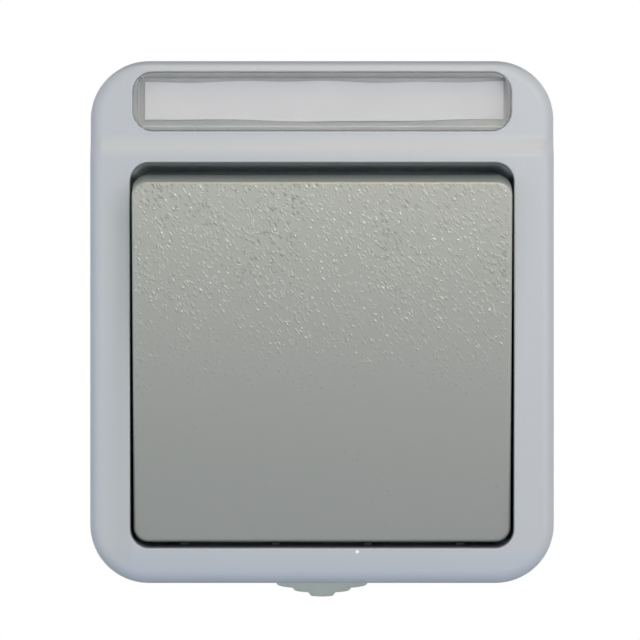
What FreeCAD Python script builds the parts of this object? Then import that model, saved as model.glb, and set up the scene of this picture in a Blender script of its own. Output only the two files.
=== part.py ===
"""Surface-mounted weatherproof rocker switch with a label field above the rocker.

The wall is the plane Y = 0 and the switch stands out of it towards -Y, with +Z up.
Every "depth" below is a distance from the wall, so a point at depth d has Y = -d.
Sizes are in millimetres. The rocker is drawn square to the wall and then tilted
into the position with its lower half pressed in.
"""

import FreeCAD, Part
import math
import os

Vector = FreeCAD.Vector
TOWARDS_ROOM = Vector(0, -1, 0)
ALONG_X = Vector(1, 0, 0)
ALONG_Z = Vector(0, 0, 1)

# Cover frame: outline, front surface and hood over the rear box
frame_width = 74.0
frame_height = 83.3
frame_corner = 9.6
frame_edge_round = 2.0
frame_flare = 0.35
skirt_wall = 1.8
skirt_back_depth = 29.0
plateau_depth = 50.0
label_drop = 1.0
label_step_run = 3.5
label_step_border = 0.9
rim_round = 0.2

# Cover frame: the tub that the rocker sits in
window_side_border = 6.73
window_top_border = 16.52
window_bottom_border = 5.98
window_corner = 3.0
tub_depth = 10.4
tub_lean = 0.85
tub_wall = 1.2
tub_floor = 2.0
tub_opening_step = 1.2
tub_opening_corner = 2.0
drain_rib_count = 4
drain_rib_pitch = 14.7
drain_rib_width = 1.2
drain_rib_height = 0.35
drain_rib_setback = 6.5

# Label field: pocket in the frame, clear window and paper strip
pocket_side_border = 7.05
pocket_top_border = 2.15
pocket_height = 9.4
pocket_corner = 3.2
pocket_depth = 3.4
pocket_floor = 1.6
lens_clearance = 0.12
lens_set_in = 0.2
lens_face = 1.4
lens_rim = 0.7
lens_hollow_corner = 0.9
label_play = 0.6
label_shift_x = 0.35
label_shift_z = 0.3
label_thickness = 0.25

# Rear box and the seal on its rim
skirt_clearance = 0.2
box_wall = 2.2
box_back_wall = 2.4
box_draft = 0.5
seal_thickness = 1.8
boss_radius = 3.2
boss_web = 2.0
slot_spacing = 60.0
slot_length = 8.0
slot_width = 4.8
back_recess_depth = 0.8
back_recess_margin = 9.0
knockout_radius = 8.0
knockout_groove = 0.8

# Cable entry with its stepped grommet
entry_depth = 15.0
entry_radius = 7.8
grommet_clearance = 0.1
grommet_seat_gap = 0.15
grommet_wall = 1.2
grommet_flange_radius = 9.6
grommet_flange = 1.6
grommet_collar_radius = 9.2
grommet_collar = 2.0
grommet_step_radii = (8.0, 5.1, 2.3)
grommet_step_taper = 0.75
grommet_step_drop = 0.95
grommet_reach = 7.55

# Screws
screw_radius = 1.5
screw_play = 0.05
screw_hole_play = 0.25
screw_head_radius = 2.8
screw_head_height = 2.0
screw_head_bevel = 0.5
screw_slot_margin = 0.4
screw_slot_width = 0.8
screw_slot_depth = 1.1
screw_length = 12.0
cover_screw_wall_gap = 1.1
cover_screw_end_gap = 2.75
boss_room = 0.8
boss_notch_room = 0.6

# Rocker
rocker_side_gap = 0.38
rocker_end_gap = 1.35
rocker_corner = 2.4
rocker_inner_corner = 0.6
rocker_stand_out = 0.8
rocker_face = 2.2
rocker_wall = 1.8
rocker_skirt = 6.5
rocker_draft = 0.1
rocker_bevel_height = 1.1
rocker_bevel_depth = 2.4
rocker_edge_round = 0.5
rocker_rib = 1.0
rocker_rib_height = 2.5
rocker_rib_x = 17.0
rest_tilt_deg = 4.5
pivot_below_face = 8.9

# Cradle that carries the rocker, and its ears on the mechanism base
cradle_width = 26.0
cradle_height = 20.0
cradle_corner = 1.5
cradle_plate = 2.0
cradle_pad = 0.6
cradle_pad_size = 3.0
hub_radius = 3.0
hub_half_length = 8.7
trunnion_radius = 1.8
trunnion_play = 0.05
ear_gap = 0.3
ear_thickness = 2.0
ear_radius = 3.5
trunnion_set_in = 0.1
hook_width = 8.0
hook_thickness = 1.2
hook_nose = 0.8
hook_play = 0.2
hook_room = 0.6
ear_room = 0.8
barrel_radius = 3.3
barrel_room = 0.5

# Spring-loaded plunger in the cradle's barrel
plunger_radius = 2.0
plunger_play = 0.08
plunger_reach = 13.0
plunger_length = 8.0
plunger_tip_round = 1.2
spring_space = 6.5
spring_wire_radius = 0.25
spring_wall_gap = 0.25
spring_end_gap = 0.05
spring_turns = 5
spring_stations_per_turn = 12
spring_wire_sides = 6

# Contact seesaw under the plunger
seesaw_ratio = 2.0
seesaw_gap = 0.15
seesaw_thickness = 1.2
seesaw_width = 6.0
seesaw_end = 0.3
seesaw_end_room = 2.2
seesaw_side_room = 1.2
fulcrum_radius = 0.4
fulcrum_play = 0.1
contact_arm = 10.0
moving_tip_radius = 1.5
moving_tip_height = 1.0
fixed_tip_radius = 1.7
contact_gap = 0.06

# Mechanism: steel carrier plate, moulded base, terminals
mechanism_side_room = 10.8
carrier_screw_margin = 4.0
rivet_margin = 0.1
carrier_corner = 3.0
carrier_thickness = 1.0
carrier_opening_height = 18.0
foam_seal_thickness = 3.2
foam_seal_width = 5.5
foam_seal_lip = 0.5
base_height = 44.0
base_corner = 2.0
base_floor = 3.0
base_side_wall = 1.5
strip_thickness = 1.0
strip_width = 6.0
strip_play = 0.2
common_run_width = 3.0
common_run_rise = 5.4
fulcrum_width = 5.0
fixed_tip_rise = 1.6
terminal_rise = 11.0
block_size = 7.4
block_play = 0.3
wire_hole_radius = 1.7
wire_hole_rise = 3.2
terminal_screw_radius = 1.5
terminal_head_radius = 2.4
terminal_head_height = 1.7
terminal_head_room = 0.3
terminal_access_radius = 2.8
rivet_radius = 1.5
rivet_head_radius = 2.4
rivet_length = 7.0
rivet_wall = 2.0

# Sizes and places that follow from the ones above
window_width = frame_width - 2 * window_side_border
window_height = frame_height - window_top_border - window_bottom_border
window_centre_z = -frame_height / 2 + window_bottom_border + window_height / 2
pocket_width = frame_width - 2 * pocket_side_border
pocket_centre_z = frame_height / 2 - pocket_top_border - pocket_height / 2
rocker_width = window_width - 2 * rocker_side_gap
rocker_height = window_height - 2 * rocker_end_gap
rocker_face_depth = plateau_depth + rocker_stand_out
pivot_depth = rocker_face_depth - pivot_below_face
label_depth = plateau_depth - label_drop
pocket_floor_depth = label_depth - pocket_depth
ledge_depth = pocket_floor_depth - pocket_floor
box_rim_depth = ledge_depth - seal_thickness
box_width = frame_width - 2 * (skirt_wall + skirt_clearance)
box_height = frame_height - 2 * (skirt_wall + skirt_clearance)
box_corner = frame_corner - skirt_wall - skirt_clearance
tub_floor_depth = plateau_depth - tub_depth
tub_back_depth = tub_floor_depth - tub_floor
carrier_depth = tub_back_depth - foam_seal_thickness
base_depth = carrier_depth - carrier_thickness
barrel_reach = pivot_depth - base_depth - barrel_room
ear_outside_x = hub_half_length + ear_gap + ear_thickness
carrier_opening_width = 2 * (ear_outside_x + ear_room)
tub_opening_width = carrier_opening_width + 2 * tub_opening_step
tub_opening_height = cradle_height + 2 * (hook_play + hook_thickness + hook_room)
seesaw_half_length = contact_arm + moving_tip_radius + seesaw_end
seesaw_slot_width = seesaw_width + 2 * seesaw_side_room
seesaw_slot_height = 2 * (seesaw_half_length + seesaw_end_room)
rivet_rise = seesaw_slot_height / 2 + rivet_radius + rivet_wall
carrier_height = 2 * (rivet_rise + rivet_head_radius + rivet_margin)
base_width = box_width - 2 * (box_wall + mechanism_side_room)
carrier_screw_x = base_width / 2 + boss_radius + boss_room
carrier_width = 2 * (carrier_screw_x + carrier_screw_margin)
cover_screw_x = window_width / 2 - screw_head_radius - cover_screw_wall_gap
cover_screw_rise = window_height / 2 - tub_lean - screw_head_radius - cover_screw_end_gap
terminal_x = base_width / 2 - base_side_wall - block_play - block_size / 2
seesaw_pivot_depth = pivot_depth - plunger_reach - seesaw_gap - seesaw_thickness
seesaw_tilt_deg = rest_tilt_deg * seesaw_ratio
closed_tip_drop = (
    contact_arm * math.sin(math.radians(seesaw_tilt_deg))
    + moving_tip_height * math.cos(math.radians(seesaw_tilt_deg))
)
closed_tip_rise = (
    contact_arm * math.cos(math.radians(seesaw_tilt_deg))
    - moving_tip_height * math.sin(math.radians(seesaw_tilt_deg))
)
strip_depth = seesaw_pivot_depth - closed_tip_drop - fixed_tip_rise
cavity_floor_depth = strip_depth - strip_thickness
wire_hole_depth = strip_depth + wire_hole_rise
block_height = base_depth - strip_depth - terminal_head_height - terminal_head_room
base_back_depth = cavity_floor_depth - base_floor
cradle_front_depth = rocker_face_depth - rocker_face - cradle_pad
cradle_back_depth = cradle_front_depth - cradle_plate
terminal_places = (
    (terminal_x, terminal_rise),
    (terminal_x, -terminal_rise),
    (-terminal_x, -terminal_rise),
)
cover_screw_places = (
    (cover_screw_x, window_centre_z + cover_screw_rise),
    (-cover_screw_x, window_centre_z - cover_screw_rise),
)
carrier_screw_places = (
    (carrier_screw_x, window_centre_z),
    (-carrier_screw_x, window_centre_z),
)
rivet_places = (
    (0.0, window_centre_z + rivet_rise),
    (0.0, window_centre_z - rivet_rise),
)
slot_places = (slot_spacing / 2, -slot_spacing / 2)
pivot_point = Vector(0, -pivot_depth, window_centre_z)
seesaw_point = Vector(0, -seesaw_pivot_depth, window_centre_z)
overlap = 1.0


# Shape helpers
def outline(width, height, corner, depth, x=0.0, z=0.0):
    """A rounded rectangle parallel to the wall, as a closed wire."""
    w, h = width / 2, height / 2
    bend = corner * (1 - math.sqrt(0.5))

    def at(dx, dz):
        return Vector(x + dx, -depth, z + dz)

    edges = []
    for sx, sz in ((1, 1), (-1, 1), (-1, -1), (1, -1)):
        side = at(sx * w, sz * (h - corner))
        middle = at(sx * (w - bend), sz * (h - bend))
        top = at(sx * (w - corner), sz * h)
        start, end = (side, top) if sx == sz else (top, side)
        edges.append(Part.Arc(start, middle, end).toShape())
    joined = []
    for i, arc in enumerate(edges):
        after = edges[(i + 1) % len(edges)]
        joined.append(arc)
        joined.append(Part.LineSegment(arc.lastVertex().Point, after.firstVertex().Point).toShape())
    return Part.Wire(Part.__sortEdges__(joined))


def slab(width, height, corner, back, front, x=0.0, z=0.0):
    """A rounded-rectangle prism between two depths."""
    face = Part.Face(outline(width, height, corner, back, x, z))
    return face.extrude(TOWARDS_ROOM * (front - back))


def tapered(back_wire, front_wire):
    """A straight-sided solid between two outlines at different depths."""
    return Part.makeLoft([back_wire, front_wire], True, True)


def post(radius, back, front, x, z):
    """A cylinder square to the wall."""
    return Part.makeCylinder(radius, front - back, Vector(x, -back, z), TOWARDS_ROOM)


def rod(radius, x0, x1, depth, z):
    """A cylinder along X."""
    return Part.makeCylinder(radius, x1 - x0, Vector(x0, -depth, z), ALONG_X)


def block(x0, x1, back, front, z0, z1):
    """A box given by its limits in X, depth and Z."""
    return Part.makeBox(x1 - x0, front - back, z1 - z0, Vector(x0, -front, z0))


def slot(length, width, back, front, z):
    """An upright slot with round ends."""
    straight = (length - width) / 2
    ends = [post(width / 2, back, front, 0, z + s * straight) for s in (1, -1)]
    return block(-width / 2, width / 2, back, front, z - straight, z + straight).multiFuse(ends)


def outline_distance(point, width, height, corner, z=0.0):
    """How far a point lies outside a rounded rectangle, seen square to the wall."""
    dx = abs(point.x) - (width / 2 - corner)
    dz = abs(point.z - z) - (height / 2 - corner)
    outside = math.hypot(max(dx, 0), max(dz, 0))
    return outside + min(max(dx, dz), 0) - corner


def edge_middle(edge):
    """The point halfway along an edge's parameter range."""
    return edge.valueAt((edge.FirstParameter + edge.LastParameter) / 2)


def edges_on(shape, width, height, corner, z, low_depth, high_depth, reach=0.1):
    """The edges that follow a rounded rectangle between two depths."""
    found = []
    for edge in shape.Edges:
        points = [edge_middle(edge)] + [v.Point for v in edge.Vertexes]
        near = all(abs(outline_distance(p, width, height, corner, z)) < reach for p in points)
        if near and all(low_depth <= -p.y <= high_depth for p in points):
            found.append(edge)
    return found


def whole(shape):
    """One clean solid from the result of a boolean operation."""
    return shape.removeSplitter().Solids[0]


def screw(radius, length, head_radius, head_height, seat_depth, x, z):
    """A cross-slotted screw with a bevelled head, its head standing on seat_depth."""
    shank = post(radius, seat_depth - length, seat_depth, x, z)
    head = post(head_radius, seat_depth, seat_depth + head_height, x, z)
    rim = [e for e in head.Edges if abs(edge_middle(e).y + seat_depth + head_height) < 1e-6]
    head = head.makeChamfer(screw_head_bevel, rim)
    top = seat_depth + head_height
    half = screw_slot_width / 2
    reach = head_radius - screw_head_bevel - screw_slot_margin
    depth = min(screw_slot_depth, head_height * 0.6)
    cross = block(x - reach, x + reach, top - depth, top + overlap, z - half, z + half).fuse(
        block(x - half, x + half, top - depth, top + overlap, z - reach, z + reach)
    )
    return whole(shank.fuse(head).cut(cross))


# Cover frame and label field
def front_profile():
    """The frame's side view: plateau, double-curved step, and the lower label field."""
    step_low = window_centre_z + window_height / 2 + label_step_border
    step_high = step_low + label_step_run
    middle_z = (step_low + step_high) / 2
    middle_depth = (plateau_depth + label_depth) / 2
    radius = (label_step_run**2 + label_drop**2) / (4 * label_drop)
    half_angle = math.asin(label_step_run / 2 / radius) / 2
    along, away = radius * math.sin(half_angle), radius * (1 - math.cos(half_angle))

    def at(depth, z):
        return Vector(-frame_width, -depth, z)

    low, high = -frame_height, frame_height
    edges = [
        Part.LineSegment(at(skirt_back_depth, low), at(plateau_depth, low)),
        Part.LineSegment(at(plateau_depth, low), at(plateau_depth, step_low)),
        Part.Arc(
            at(plateau_depth, step_low),
            at(plateau_depth - away, step_low + along),
            at(middle_depth, middle_z),
        ),
        Part.Arc(
            at(middle_depth, middle_z),
            at(label_depth + away, step_high - along),
            at(label_depth, step_high),
        ),
        Part.LineSegment(at(label_depth, step_high), at(label_depth, high)),
        Part.LineSegment(at(label_depth, high), at(skirt_back_depth, high)),
        Part.LineSegment(at(skirt_back_depth, high), at(skirt_back_depth, low)),
    ]
    face = Part.Face(Part.Wire([e.toShape() for e in edges]))
    return face.extrude(ALONG_X * 2 * frame_width)


def drain_ribs():
    """Short ribs on the tub's lower wall that keep the rocker's edge off the wet face."""
    low = window_centre_z - window_height / 2
    first = -drain_rib_pitch * (drain_rib_count - 1) / 2
    half = drain_rib_width / 2
    front = plateau_depth - drain_rib_setback
    return [
        block(
            first + i * drain_rib_pitch - half,
            first + i * drain_rib_pitch + half,
            tub_floor_depth,
            front,
            low - tub_wall / 2,
            low + drain_rib_height,
        )
        for i in range(drain_rib_count)
    ]


def tub_outline(depth):
    """The tub's inside at a depth: its upper wall leans in so that it draws from the mould."""
    lean = tub_lean * (plateau_depth - depth) / tub_depth
    return outline(
        window_width, window_height - lean, window_corner, depth, z=window_centre_z - lean / 2
    )


def make_cover_frame():
    front_width = frame_width - 2 * frame_flare
    front_height = frame_height - 2 * frame_flare
    front_corner = frame_corner - frame_flare
    body = tapered(
        outline(frame_width, frame_height, frame_corner, skirt_back_depth),
        outline(front_width, front_height, front_corner, plateau_depth),
    ).common(front_profile())
    body = whole(body)
    front_edges = edges_on(
        body, front_width, front_height, front_corner, 0.0, label_depth - 0.1, plateau_depth + 0.1
    )
    body = body.makeFillet(frame_edge_round, front_edges)

    hollow = slab(
        box_width + 2 * skirt_clearance,
        box_height + 2 * skirt_clearance,
        box_corner + skirt_clearance,
        skirt_back_depth - overlap,
        ledge_depth,
    )
    tub = slab(
        window_width + 2 * tub_wall,
        window_height + 2 * tub_wall,
        window_corner + tub_wall,
        tub_back_depth,
        ledge_depth,
        z=window_centre_z,
    )
    window = tapered(tub_outline(tub_floor_depth), tub_outline(plateau_depth))
    opening = slab(
        tub_opening_width,
        tub_opening_height,
        tub_opening_corner,
        tub_back_depth - overlap,
        tub_floor_depth + overlap,
        z=window_centre_z,
    )
    pocket = slab(
        pocket_width,
        pocket_height,
        pocket_corner,
        pocket_floor_depth,
        label_depth + overlap,
        z=pocket_centre_z,
    )
    body = body.cut(hollow.cut(tub))
    body = whole(body.cut(window).cut(pocket).cut(opening))
    window_rim = edges_on(
        body,
        window_width,
        window_height,
        window_corner,
        window_centre_z,
        plateau_depth - 0.1,
        plateau_depth + 0.1,
    )
    pocket_rim = edges_on(
        body,
        pocket_width,
        pocket_height,
        pocket_corner,
        pocket_centre_z,
        label_depth - 0.1,
        label_depth + 0.1,
    )
    body = body.makeFillet(rim_round, window_rim + pocket_rim)
    for x, z in cover_screw_places:
        hole = screw_radius + screw_hole_play
        body = body.cut(post(hole, tub_back_depth - overlap, tub_floor_depth + overlap, x, z))
    return whole(body.multiFuse(drain_ribs()))


def make_label_window():
    width = pocket_width - 2 * lens_clearance
    height = pocket_height - 2 * lens_clearance
    corner = pocket_corner - lens_clearance
    front = label_depth - lens_set_in
    lens = slab(width, height, corner, pocket_floor_depth, front, z=pocket_centre_z)
    hollow = slab(
        width - 2 * lens_rim,
        height - 2 * lens_rim,
        lens_hollow_corner,
        pocket_floor_depth - overlap,
        front - lens_face,
        z=pocket_centre_z,
    )
    rim = edges_on(lens, width, height, corner, pocket_centre_z, front - 0.1, front + 0.1)
    return whole(lens.makeFillet(rim_round, rim).cut(hollow))


def make_label_strip():
    inset = 2 * (lens_clearance + lens_rim + label_play)
    return slab(
        pocket_width - inset,
        pocket_height - inset,
        lens_hollow_corner - label_play,
        pocket_floor_depth,
        pocket_floor_depth + label_thickness,
        x=label_shift_x,
        z=pocket_centre_z + label_shift_z,
    )


# Rear box, seal and cable entry
def box_outline(inset, depth):
    """The rear box's drafted outline at a depth, inset by a wall."""
    draft = box_draft * (1 - depth / box_rim_depth)
    shrink = 2 * (draft + inset)
    return outline(box_width - shrink, box_height - shrink, box_corner - draft - inset, depth)


def boss(x, z, height_depth, inner_wall_x):
    """A screw boss on the back wall, tied to the side wall by a web."""
    side = 1 if x > 0 else -1
    web_ends = sorted((x, side * inner_wall_x))
    column = post(boss_radius, box_back_wall - overlap, height_depth, x, z)
    web = block(
        web_ends[0],
        web_ends[1],
        box_back_wall - overlap,
        height_depth - boss_radius,
        z - boss_web / 2,
        z + boss_web / 2,
    )
    bore = post(
        screw_radius + screw_play, height_depth - screw_length, height_depth + overlap, x, z
    )
    return column.fuse(web), bore


def make_rear_box():
    shell = tapered(box_outline(0.0, 0.0), box_outline(0.0, box_rim_depth)).cut(
        tapered(box_outline(box_wall, box_back_wall), box_outline(box_wall, box_rim_depth))
    )
    wall_middle_x = box_width / 2 - box_wall / 2 - box_draft
    added, removed = [], []
    for places, top in ((cover_screw_places, tub_back_depth), (carrier_screw_places, base_depth)):
        for x, z in places:
            column, bore = boss(x, z, top, wall_middle_x)
            added.append(column)
            removed.append(bore)
    for z in slot_places:
        removed.append(slot(slot_length, slot_width, -overlap, box_back_wall + overlap, z))
    low, high = -box_height / 2, box_height / 2
    entry = Part.makeCylinder(
        entry_radius, 2 * box_wall + overlap, Vector(0, -entry_depth, low - overlap), ALONG_Z
    )
    ring_floor = high - box_draft - knockout_groove
    knockout = [
        Part.makeCylinder(radius, 2 * overlap, Vector(0, -entry_depth, ring_floor), ALONG_Z)
        for radius in (knockout_radius + knockout_groove, knockout_radius)
    ]
    recess_width = box_width / 2 - back_recess_margin - slot_width
    for side in (1, -1):
        removed.append(
            slab(
                recess_width,
                box_height - 2 * back_recess_margin,
                box_corner / 2,
                -overlap,
                back_recess_depth,
                x=side * (slot_width + recess_width / 2),
            )
        )
    removed += [entry, knockout[0].cut(knockout[1])]
    return whole(shell.multiFuse(added).cut(Part.makeCompound(removed)))


def make_box_seal():
    ring = Part.Face(box_outline(0.0, box_rim_depth)).cut(
        Part.Face(box_outline(box_wall, box_rim_depth))
    )
    return ring.extrude(TOWARDS_ROOM * seal_thickness).Solids[0]


def make_cable_grommet():
    """A closed rubber nipple in cone-sided steps, with a groove that grips the box's wall."""
    draft = box_draft * (1 - entry_depth / box_rim_depth)
    outside = -box_height / 2 + draft
    inside = outside + box_wall
    tip = outside - grommet_reach
    neck = entry_radius - grommet_clearance
    profile = [
        (neck - grommet_wall, inside + grommet_flange),
        (grommet_flange_radius, inside + grommet_flange),
        (grommet_flange_radius, inside + grommet_seat_gap),
        (neck, inside + grommet_seat_gap),
        (neck, outside - grommet_seat_gap),
        (grommet_collar_radius, outside - grommet_seat_gap),
        (grommet_collar_radius, outside - grommet_collar),
    ]
    steps = len(grommet_step_radii)
    for i, radius in enumerate(grommet_step_radii):
        top = tip + grommet_step_drop * (steps - i)
        profile.append((radius + grommet_step_taper / 2, top))
        profile.append((radius - grommet_step_taper / 2, top - grommet_step_drop))
    tip_inside = tip + grommet_wall
    shoulder = tip + grommet_step_drop * steps + grommet_wall
    profile += [
        (0.0, tip),
        (0.0, tip_inside),
        (grommet_step_radii[-1] - grommet_step_taper, tip_inside),
        (grommet_step_radii[0] - grommet_wall, shoulder),
        (neck - grommet_wall, shoulder + grommet_wall),
    ]
    points = [Vector(radius, -entry_depth, z) for radius, z in profile]
    face = Part.Face(Part.makePolygon(points + points[:1]))
    return face.revolve(Vector(0, -entry_depth, 0), ALONG_Z, 360).Solids[0]


# Screws that hold the cover and the mechanism
def make_cover_screws():
    return [
        screw(screw_radius, screw_length, screw_head_radius, screw_head_height, tub_floor_depth, x, z)
        for x, z in cover_screw_places
    ]


def make_carrier_screws():
    return [
        screw(screw_radius, screw_length, screw_head_radius, screw_head_height, carrier_depth, x, z)
        for x, z in carrier_screw_places
    ]


# Rocker and cradle, drawn square to the wall
def rest_tilted(shape):
    """The shape with its lower half pressed in, as the switch is set."""
    tilted = shape.copy()
    tilted.rotate(pivot_point, ALONG_X, rest_tilt_deg)
    return tilted


def rocker_hook(side):
    """A snap hook behind the rocker that grips one long edge of the cradle plate."""
    edge = cradle_height / 2
    near, far = edge + hook_play, edge + hook_play + hook_thickness
    tip = cradle_back_depth - hook_play - hook_nose
    half = hook_width / 2
    leg = block(-half, half, tip, rocker_face_depth - rocker_face + overlap, near, far)
    nose = block(-half, half, tip, cradle_back_depth - hook_play, edge - hook_nose, near)
    hook = leg.fuse(nose)
    hook.translate(Vector(0, 0, window_centre_z))
    if side < 0:
        hook = hook.mirror(Vector(0, 0, window_centre_z), ALONG_Z)
    return hook


def rocker_outline(depth, top_cut=0.0):
    """The rocker's drafted outline at a depth, with its upper edge cut back."""
    draft = rocker_draft * (1 - (rocker_face_depth - depth) / rocker_skirt)
    width = rocker_width - 2 * draft
    height = rocker_height - 2 * draft - top_cut
    return outline(width, height, rocker_corner - draft, depth, z=window_centre_z - top_cut / 2)


def make_rocker_plate():
    skirt_depth = rocker_face_depth - rocker_skirt
    bevel_depth = rocker_face_depth - rocker_bevel_depth
    inner_depth = rocker_face_depth - rocker_face

    face_width = rocker_width - 2 * rocker_draft
    face_height = rocker_height - 2 * rocker_draft - rocker_bevel_height
    skirt = tapered(rocker_outline(skirt_depth), rocker_outline(bevel_depth))
    face = tapered(
        rocker_outline(bevel_depth), rocker_outline(rocker_face_depth, rocker_bevel_height)
    )
    body = whole(skirt.fuse(face))
    front_edges = edges_on(
        body,
        face_width,
        face_height,
        rocker_corner - rocker_draft,
        window_centre_z - rocker_bevel_height / 2,
        rocker_face_depth - 0.1,
        rocker_face_depth + 0.1,
    )
    body = body.makeFillet(rocker_edge_round, front_edges)
    hollow = slab(
        face_width - 2 * rocker_wall,
        rocker_height - 2 * (rocker_draft + rocker_wall),
        rocker_inner_corner,
        skirt_depth - overlap,
        inner_depth,
        z=window_centre_z,
    )
    half_height = rocker_height / 2 - rocker_wall
    rib_back = inner_depth - rocker_rib_height
    ribs = [
        block(
            x - rocker_rib / 2,
            x + rocker_rib / 2,
            rib_back,
            inner_depth + overlap,
            window_centre_z - half_height,
            window_centre_z + half_height,
        )
        for x in (rocker_rib_x, -rocker_rib_x)
    ]
    pad_x = cradle_width / 2 - cradle_pad_size
    pad_z = cradle_height / 2 - cradle_pad_size
    half = cradle_pad_size / 2
    pads = [
        block(
            sx * pad_x - half,
            sx * pad_x + half,
            cradle_front_depth,
            inner_depth + overlap,
            window_centre_z + sz * pad_z - half,
            window_centre_z + sz * pad_z + half,
        )
        for sx in (1, -1)
        for sz in (1, -1)
    ]
    hooks = [rocker_hook(side) for side in (1, -1)]
    return rest_tilted(whole(body.cut(hollow).multiFuse(ribs + pads + hooks)))


def make_rocker_cradle():
    plate = slab(
        cradle_width,
        cradle_height,
        cradle_corner,
        cradle_back_depth,
        cradle_front_depth,
        z=window_centre_z,
    )
    hub = rod(hub_radius, -hub_half_length, hub_half_length, pivot_depth, window_centre_z)
    trunnion_end = ear_outside_x - trunnion_set_in
    trunnions = rod(trunnion_radius, -trunnion_end, trunnion_end, pivot_depth, window_centre_z)
    neck = block(
        -hub_half_length + ear_gap,
        hub_half_length - ear_gap,
        pivot_depth,
        cradle_back_depth + overlap,
        window_centre_z - hub_radius,
        window_centre_z + hub_radius,
    )
    barrel = post(
        barrel_radius, pivot_depth - barrel_reach, cradle_back_depth + overlap, 0, window_centre_z
    )
    bore_top = pivot_depth - plunger_reach + plunger_length + spring_space
    bore = post(
        plunger_radius + plunger_play,
        pivot_depth - barrel_reach - overlap,
        bore_top,
        0,
        window_centre_z,
    )
    return rest_tilted(whole(plate.multiFuse([hub, trunnions, neck, barrel]).cut(bore)))


def make_toggle_plunger():
    tip = pivot_depth - plunger_reach
    pin = post(plunger_radius, tip, tip + plunger_length, 0, window_centre_z)
    point = [e for e in pin.Edges if abs(edge_middle(e).y + tip) < 1e-6]
    return rest_tilted(pin.makeFillet(plunger_tip_round, point).Solids[0])


def make_plunger_spring():
    seat = pivot_depth - plunger_reach + plunger_length
    coil_radius = plunger_radius + plunger_play - spring_wall_gap - spring_wire_radius
    coil_height = spring_space - 2 * (spring_wire_radius + spring_end_gap)
    first_turn_depth = seat + spring_end_gap + spring_wire_radius
    stations = spring_turns * spring_stations_per_turn
    sections = []
    for i in range(stations + 1):
        angle = 2 * math.pi * i / spring_stations_per_turn
        outward = Vector(math.cos(angle), 0, math.sin(angle))
        centre = Vector(0, -first_turn_depth - coil_height * i / stations, window_centre_z)
        corners = []
        for k in range(spring_wire_sides):
            turn = 2 * math.pi * k / spring_wire_sides
            reach = coil_radius + spring_wire_radius * math.cos(turn)
            corners.append(
                centre + outward * reach + TOWARDS_ROOM * spring_wire_radius * math.sin(turn)
            )
        sections.append(Part.makePolygon(corners + corners[:1]))
    return rest_tilted(Part.makeLoft(sections, True, True))


# Contact seesaw, drawn square to the wall
def contact_tilted(shape):
    """The shape turned about the fulcrum so that the upper contact is closed."""
    tilted = shape.copy()
    tilted.rotate(seesaw_point, ALONG_X, -seesaw_tilt_deg)
    return tilted


def make_contact_seesaw():
    half = seesaw_width / 2
    strip = block(
        -half,
        half,
        seesaw_pivot_depth,
        seesaw_pivot_depth + seesaw_thickness,
        window_centre_z - seesaw_half_length,
        window_centre_z + seesaw_half_length,
    )
    groove = rod(
        fulcrum_radius + fulcrum_play,
        -half - overlap,
        half + overlap,
        seesaw_pivot_depth,
        window_centre_z,
    )
    return contact_tilted(whole(strip.cut(groove)))


def make_moving_tips():
    return [
        contact_tilted(
            post(
                moving_tip_radius,
                seesaw_pivot_depth - moving_tip_height,
                seesaw_pivot_depth,
                0,
                window_centre_z + side * contact_arm,
            )
        )
        for side in (1, -1)
    ]


def make_fixed_tips():
    """Contact buttons cut to the slope that the closed moving tip lies at."""
    tips = []
    for side in (1, -1):
        z = window_centre_z + side * closed_tip_rise
        meeting_depth = seesaw_pivot_depth - closed_tip_drop - contact_gap
        button = post(fixed_tip_radius, strip_depth, meeting_depth + fixed_tip_radius, 0, z)
        above = block(
            -2 * fixed_tip_radius,
            2 * fixed_tip_radius,
            meeting_depth,
            meeting_depth + 4 * fixed_tip_radius,
            z - 3 * fixed_tip_radius,
            z + 3 * fixed_tip_radius,
        )
        above.rotate(Vector(0, -meeting_depth, z), ALONG_X, -side * seesaw_tilt_deg)
        tips.append(whole(button.cut(above)))
    return tips


# Mechanism base, carrier and terminals
def make_carrier_plate():
    plate = slab(
        carrier_width,
        carrier_height,
        carrier_corner,
        base_depth,
        carrier_depth,
        z=window_centre_z,
    )
    cuts = [
        slab(
            carrier_opening_width,
            carrier_opening_height,
            tub_opening_corner,
            base_depth - overlap,
            carrier_depth + overlap,
            z=window_centre_z,
        )
    ]
    for x, z in carrier_screw_places:
        hole = screw_radius + screw_hole_play
        cuts.append(post(hole, base_depth - overlap, carrier_depth + overlap, x, z))
    for x, z in cover_screw_places:
        notch = boss_radius + boss_notch_room
        cuts.append(post(notch, base_depth - overlap, carrier_depth + overlap, x, z))
    for x, rise in terminal_places:
        z = window_centre_z + rise
        cuts.append(
            post(terminal_access_radius, base_depth - overlap, carrier_depth + overlap, x, z)
        )
    for x, z in rivet_places:
        cuts.append(rivet_shape(x, z, screw_play))
    return whole(plate.cut(Part.makeCompound(cuts)))


def rivet_shape(x, z, play):
    """A flush-head rivet through the carrier into the base, or its hole with some play."""
    shank = post(
        rivet_radius + play, carrier_depth - rivet_length - play, carrier_depth, x, z
    )
    head = Part.makeCone(
        rivet_radius + play,
        rivet_head_radius + play,
        carrier_thickness,
        Vector(x, -base_depth, z),
        TOWARDS_ROOM,
    )
    return whole(shank.fuse(head))


def make_carrier_rivets():
    return [rivet_shape(x, z, 0.0) for x, z in rivet_places]


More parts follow.
